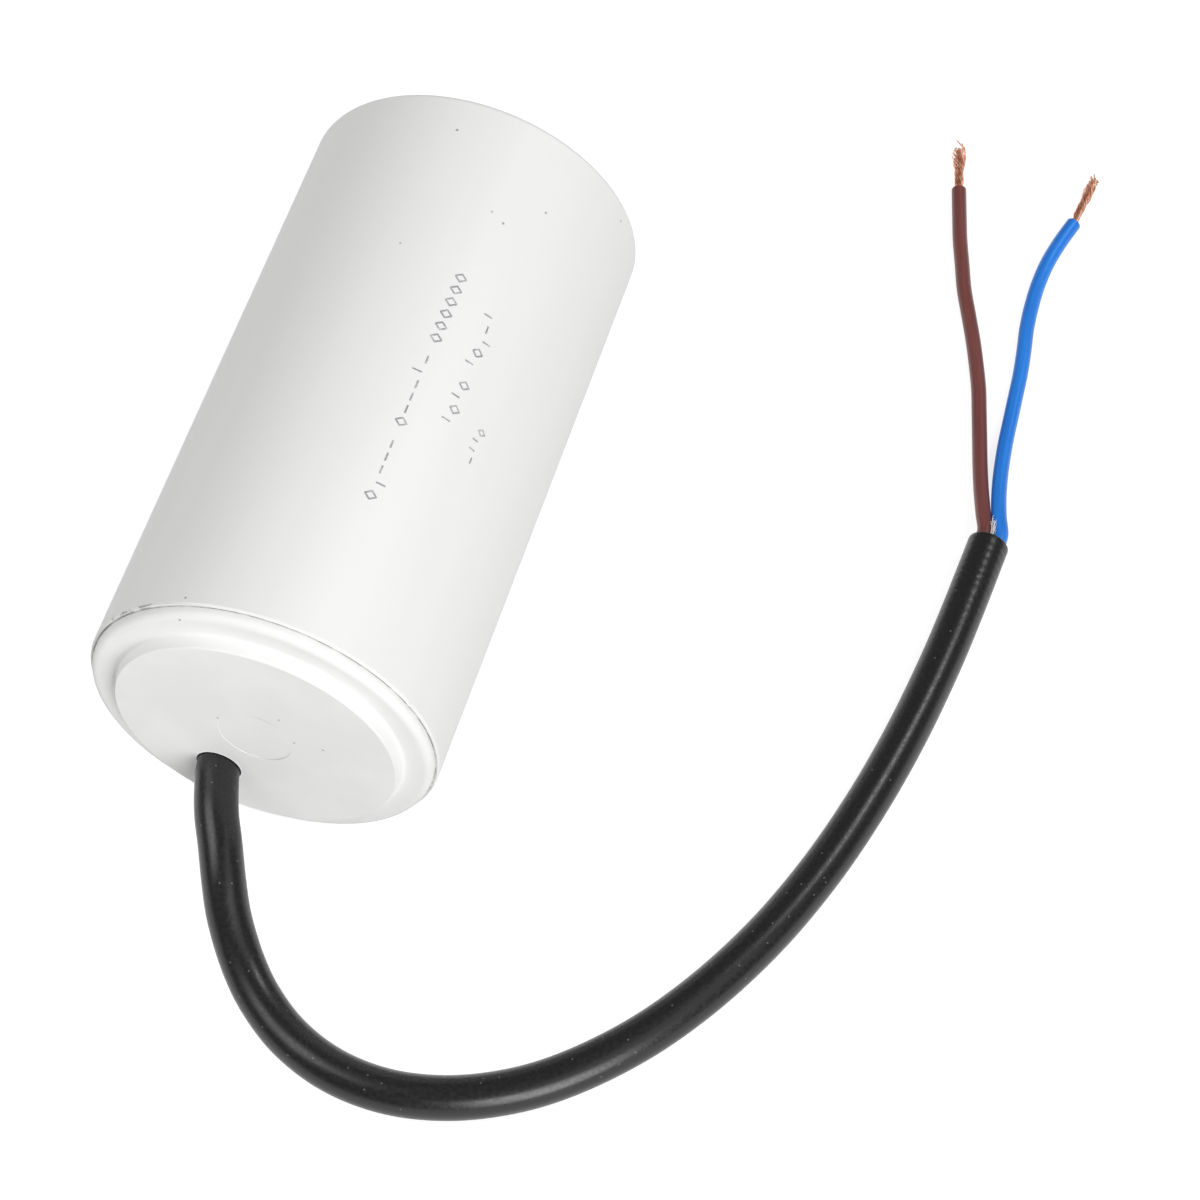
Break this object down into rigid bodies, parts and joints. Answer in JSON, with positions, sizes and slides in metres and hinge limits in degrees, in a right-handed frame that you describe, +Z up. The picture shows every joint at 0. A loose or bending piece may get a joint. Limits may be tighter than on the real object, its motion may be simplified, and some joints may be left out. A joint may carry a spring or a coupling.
{
  "type": "motor run capacitor",
  "caption": "Motor run capacitor: a moulded cylindrical case with a stepped lid, lying on its side, with a round two-core lead ending in stripped cores.",
  "frame": {"origin": "on the floor under the middle of the case and lid, which lie on their side; the free lead is left out of that middle", "axes": "+Y along the case's axis towards its closed end, so the lid faces -Y; +X across the case; +Z up"},
  "size_m": [0.1132, 0.1877, 0.05],
  "materials": {
    "case_plastic": "satin moulded white plastic",
    "lid_plastic": "satin moulded white plastic",
    "sheath_pvc": "satin black sheath",
    "brown_insulation": "matt brown insulation",
    "blue_insulation": "satin blue insulation",
    "bare_copper": "bright bare copper strands",
    "white_thread": "fluffy white thread",
    "wound_film": "metallised film roll",
    "core_tube": "natural moulded tube",
    "wrap_film": "clear yellowish wrap",
    "sprayed_metal": "rough sprayed metal",
    "solder": "bright solder",
    "resin": "dark potting resin",
    "pressboard": "plain pressboard"
  },
  "bodies": {
    "root": {"case": "case_plastic", "end_cap": "lid_plastic", "cable_sheath": "sheath_pvc", "brown_core": "brown_insulation", "blue_core": "blue_insulation", "brown_strands": "bare_copper", "blue_strands": "bare_copper", "filler_thread": "white_thread", "film_winding": "wound_film", "winding_core": "core_tube", "outer_wrap": "wrap_film", "front_contact_layer": "sprayed_metal", "rear_contact_layer": "sprayed_metal", "front_solder_joint": "solder", "rear_solder_joint": "solder", "front_lead": "blue_insulation", "rear_lead": "brown_insulation", "front_conductor": "bare_copper", "rear_conductor": "bare_copper", "potting_resin": "resin", "rear_spacer": "pressboard"}
  },
  "joints": []
}
